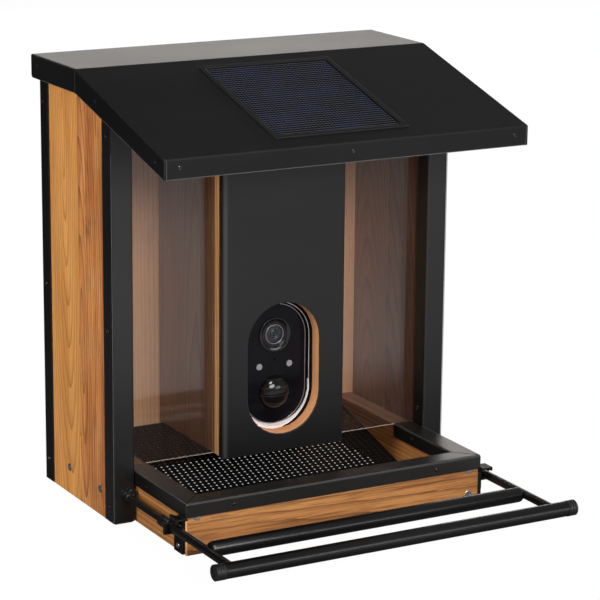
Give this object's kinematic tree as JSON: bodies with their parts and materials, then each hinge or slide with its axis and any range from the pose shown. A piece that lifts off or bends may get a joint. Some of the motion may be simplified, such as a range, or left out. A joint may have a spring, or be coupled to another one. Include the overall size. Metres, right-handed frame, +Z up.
{
  "type": "smart bird feeder",
  "caption": "Wooden bird feeder with tinted windows, a camera column, a perforated seed tray, a sliding perch and a hinged roof with a solar panel.",
  "frame": {"origin": "on the ground under the middle of the feeder's outline, perch included", "axes": "+Z up, -Y towards the tray and perch, +X to the right as seen from the front"},
  "size_m": [0.2978, 0.3156, 0.3358],
  "materials": {
    "pale_wood": "oiled pale wood with straight grain",
    "warm_wood": "oiled darker wood with figured grain",
    "black_sheet": "satin black powder coat",
    "window": "clear sheet with a rose-brown tint",
    "gloss_black": "polished black",
    "shell_black": "fine matt black",
    "chrome": "bright plated rim",
    "lens": "coated lens",
    "lamp": "clear lamp window",
    "dome": "polished dark dome",
    "circuit": "green circuit board",
    "battery": "wrapped battery pack",
    "steel": "plain bright steel",
    "bush_black": "moulded black plastic",
    "solar_cells": "dark blue cells under a clear sheet"
  },
  "bodies": {
    "housing": {"side_panel_rear_left": "pale_wood", "side_panel_rear_right": "pale_wood", "side_panel_front_left": "warm_wood", "side_panel_front_right": "warm_wood", "back_panel": "pale_wood", "rear_corner_trim_left": "black_sheet", "rear_corner_trim_right": "black_sheet", "front_post_channel_left": "black_sheet", "front_post_channel_right": "black_sheet", "window_left": "window", "window_right": "window", "column_wall_left": "pale_wood", "column_wall_right": "pale_wood", "column_front_board": "warm_wood", "column_floor_board": "pale_wood", "column_cover": "black_sheet", "camera_rim_outer": "chrome", "camera_bevel": "gloss_black", "camera_rim_inner": "chrome", "camera_face": "gloss_black", "lens_ring": "gloss_black", "lens_glass": "lens", "lens_barrel": "shell_black", "lamp_window_left": "lamp", "lamp_window_right": "lamp", "motion_sensor_dome": "dome", "camera_shell": "shell_black", "circuit_board": "circuit", "battery_pack": "battery", "tray_side_board_left": "warm_wood", "tray_side_board_right": "warm_wood", "tray_front_board": "warm_wood", "tray_rim": "black_sheet", "perforated_floor": "black_sheet", "perch_guide_left": "black_sheet", "perch_guide_right": "black_sheet", "perch_bracket_left": "black_sheet", "perch_bracket_right": "black_sheet", "perch_bush_left": "bush_black", "perch_bush_right": "bush_black", "hinge_leaf_fixed_left": "steel", "hinge_leaf_fixed_right": "steel", "hinge_pin_left": "steel", "hinge_pin_right": "steel"},
    "lid": {"roof_sheet": "black_sheet", "solar_frame": "black_sheet", "solar_panel": "solar_cells", "lid_board_rear": "pale_wood", "lid_board_front": "pale_wood", "hinge_leaf_lid_left": "steel", "hinge_leaf_lid_right": "steel"},
    "perch": {"perch_arm_left": "black_sheet", "perch_arm_right": "black_sheet", "perch_inner_bar": "black_sheet", "perch_outer_bar": "black_sheet", "bar_cap_left": "bush_black", "bar_cap_right": "bush_black"},
    "power_button": {"power_button": "bush_black"}
  },
  "joints": [
    {"name": "lid_hinge", "type": "hinge", "parent": "housing", "child": "lid", "pos_m": [0, 0.15505, 0.318], "axis": [-1, 0, 0], "range_deg": [0, 95]},
    {"name": "perch_slide", "type": "slide", "parent": "housing", "child": "perch", "axis": [0, 1, 0], "range_m": [0, 0.036]},
    {"name": "power_button_press", "type": "slide", "parent": "housing", "child": "power_button", "axis": [0, -1, 0], "range_m": [0, 0.001], "stiffness_N_per_m": 400}
  ]
}
